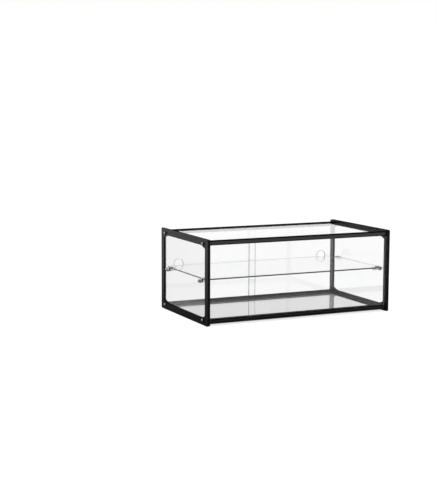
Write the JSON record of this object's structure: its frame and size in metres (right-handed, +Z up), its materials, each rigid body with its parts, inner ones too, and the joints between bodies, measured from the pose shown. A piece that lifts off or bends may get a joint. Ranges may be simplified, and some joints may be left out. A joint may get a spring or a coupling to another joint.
{
  "type": "countertop display case",
  "caption": "Clear countertop display case with black end frames and rails, a clear base, a clear shelf on nickel clips and sliding rear doors with finger holes.",
  "frame": {"origin": "centre of the footprint on the counter, level with the lower edges of the end frames", "axes": "+X to the right as seen from the front, +Y towards the sliding doors at the rear, +Z up"},
  "size_m": [0.751, 0.41, 0.3],
  "materials": {
    "frame_black": "smooth satin black",
    "rail_black": "black anodised satin",
    "track_black": "extruded satin black",
    "clear_glass": "clear, polished edges",
    "seal_black": "soft black",
    "clip_nickel": "bright nickel plate",
    "screw_steel": "zinc plated"
  },
  "bodies": {
    "case": {"left_end_frame": "frame_black", "right_end_frame": "frame_black", "left_end_panel": "clear_glass", "right_end_panel": "clear_glass", "left_clamp_ring": "frame_black", "right_clamp_ring": "frame_black", "front_top_rail": "rail_black", "front_bottom_rail": "rail_black", "rear_top_rail": "rail_black", "rear_bottom_rail": "rail_black", "upper_glazing_seal": "seal_black", "lower_glazing_seal": "seal_black", "front_panel": "clear_glass", "top_panel": "clear_glass", "base_panel": "clear_glass", "upper_door_track": "track_black", "lower_door_track": "track_black", "shelf": "clear_glass", "left_front_clip": "clip_nickel", "left_rear_clip": "clip_nickel", "right_front_clip": "clip_nickel", "right_rear_clip": "clip_nickel", "clip_cap_nuts": "clip_nickel", "clip_washers": "seal_black", "clip_set_screws": "screw_steel", "clip_pads": "seal_black", "frame_screws": "screw_steel", "frame_washers": "seal_black"},
    "left_door": {"left_door": "clear_glass"},
    "right_door": {"right_door": "clear_glass"}
  },
  "joints": [
    {"name": "left_door_slide", "type": "slide", "parent": "case", "child": "left_door", "axis": [1, 0, 0], "range_m": [0, 0.338]},
    {"name": "right_door_slide", "type": "slide", "parent": "case", "child": "right_door", "axis": [1, 0, 0], "range_m": [-0.338, 0]}
  ]
}
